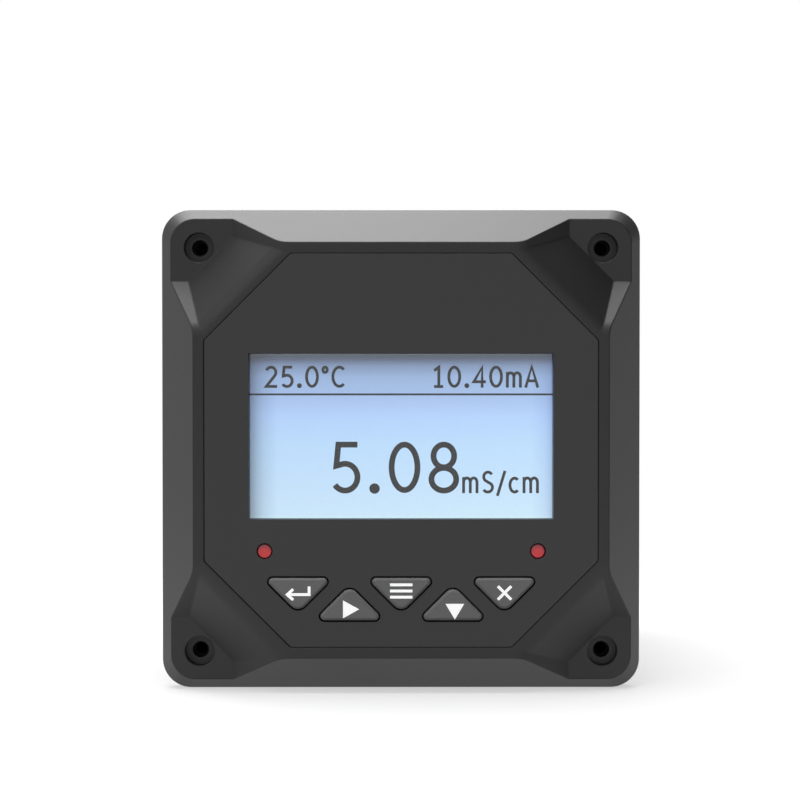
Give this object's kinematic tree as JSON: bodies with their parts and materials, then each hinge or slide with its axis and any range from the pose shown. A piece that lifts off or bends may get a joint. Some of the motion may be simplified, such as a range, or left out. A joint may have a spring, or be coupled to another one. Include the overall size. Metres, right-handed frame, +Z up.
{
  "type": "panel-mounted conductivity controller",
  "caption": "Panel-mounted conductivity controller: square faceted bezel, lit display, triangular keys and lamps, with a deep rear housing, terminal blocks and sliding panel clamps.",
  "frame": {"origin": "centre of the panel cut-out, in the plane of the panel's front face, where the gasket bears", "axes": "+Z up, +X to the right as the display is read, +Y into the panel, so the display faces -Y"},
  "size_m": [0.1064, 0.1504, 0.1],
  "materials": {
    "bezel_plastic": "fine moulded texture, dark grey",
    "overlay_film": "smooth satin film",
    "window_acrylic": "clear polished sheet",
    "foam": "black closed-cell foam",
    "steel": "plated sheet steel",
    "display_glass": "lit blue-white display",
    "light_guide": "clear light guide on a white tray",
    "circuit_board": "green solder mask",
    "steel_screws": "zinc-plated steel",
    "black_plastic": "black moulded plastic",
    "red_lens": "red diffused lens",
    "gasket_rubber": "black moulded rubber",
    "housing_plastic": "black-grey moulded plastic",
    "blackened_steel": "turned steel with a black oxide finish",
    "brass": "turned brass",
    "capacitor_can": "sleeved can",
    "fuse_glass": "glass tube",
    "blue_coating": "dipped blue coating",
    "ferrite": "sintered ring",
    "relay_case": "moulded relay case",
    "terminal_plastic": "green moulded plastic",
    "clamp_plastic": "glass-filled moulded plastic",
    "key_plastic": "smooth moulded keys, grey"
  },
  "bodies": {
    "unit": {"board_header_main": "black_plastic", "board_header_power": "black_plastic", "board_socket_main": "black_plastic", "board_socket_power": "black_plastic", "choke": "ferrite", "display_backlight": "light_guide", "display_board": "circuit_board", "display_board_screws": "steel_screws", "display_frame": "steel", "display_glass": "display_glass", "display_window": "window_acrylic", "front_bezel": "bezel_plastic", "front_overlay": "overlay_film", "fuse": "fuse_glass", "fuse_clips": "steel", "input_shield": "steel", "isolation_module": "black_plastic", "key_switches": "black_plastic", "lamp_left": "red_lens", "lamp_right": "red_lens", "lamp_spacers": "black_plastic", "main_board": "circuit_board", "output_relays": "relay_case", "panel_gasket": "gasket_rubber", "power_board": "circuit_board", "power_module": "black_plastic", "processor": "black_plastic", "rear_housing": "housing_plastic", "rear_plate": "housing_plastic", "rear_plate_screws": "steel_screws", "smoothing_capacitors": "capacitor_can", "surge_disc": "blue_coating", "terminal_block_lower": "terminal_plastic", "terminal_block_upper": "terminal_plastic", "terminal_screws_lower": "steel_screws", "terminal_screws_upper": "steel_screws", "threaded_inserts": "blackened_steel", "window_seal": "foam", "wire_cages_lower": "steel", "wire_cages_upper": "steel"},
    "enter_key": {"key_enter": "key_plastic", "plunger_enter": "black_plastic"},
    "right_key": {"key_right": "key_plastic", "plunger_right": "black_plastic"},
    "menu_key": {"key_menu": "key_plastic", "plunger_menu": "black_plastic"},
    "down_key": {"key_down": "key_plastic", "plunger_down": "black_plastic"},
    "escape_key": {"key_escape": "key_plastic", "plunger_escape": "black_plastic"},
    "clamp_left": {"mounting_clamp_left": "clamp_plastic", "clamp_insert_left": "brass"},
    "screw_left": {"clamp_screw_left": "steel_screws"},
    "clamp_right": {"mounting_clamp_right": "clamp_plastic", "clamp_insert_right": "brass"},
    "screw_right": {"clamp_screw_right": "steel_screws"}
  },
  "joints": [
    {"name": "enter_press", "type": "slide", "parent": "unit", "child": "enter_key", "axis": [0, 1, 0], "range_m": [0, 0.0005], "stiffness_N_per_m": 1500, "springref_m": -0.0004},
    {"name": "right_press", "type": "slide", "parent": "unit", "child": "right_key", "axis": [0, 1, 0], "range_m": [0, 0.0005], "stiffness_N_per_m": 1500, "springref_m": -0.0004},
    {"name": "menu_press", "type": "slide", "parent": "unit", "child": "menu_key", "axis": [0, 1, 0], "range_m": [0, 0.0005], "stiffness_N_per_m": 1500, "springref_m": -0.0004},
    {"name": "down_press", "type": "slide", "parent": "unit", "child": "down_key", "axis": [0, 1, 0], "range_m": [0, 0.0005], "stiffness_N_per_m": 1500, "springref_m": -0.0004},
    {"name": "escape_press", "type": "slide", "parent": "unit", "child": "escape_key", "axis": [0, 1, 0], "range_m": [0, 0.0005], "stiffness_N_per_m": 1500, "springref_m": -0.0004},
    {"name": "clamp_slide_left", "type": "slide", "parent": "unit", "child": "clamp_left", "axis": [0, 1, 0], "range_m": [-0.009, 0.073]},
    {"name": "screw_turn_left", "type": "hinge", "parent": "clamp_left", "child": "screw_left", "pos_m": [-0.049, 0.035, 0], "axis": [0, -1, 0], "continuous": true},
    {"name": "clamp_slide_right", "type": "slide", "parent": "unit", "child": "clamp_right", "axis": [0, 1, 0], "range_m": [-0.009, 0.073]},
    {"name": "screw_turn_right", "type": "hinge", "parent": "clamp_right", "child": "screw_right", "pos_m": [0.049, 0.035, 0], "axis": [0, -1, 0], "continuous": true}
  ]
}
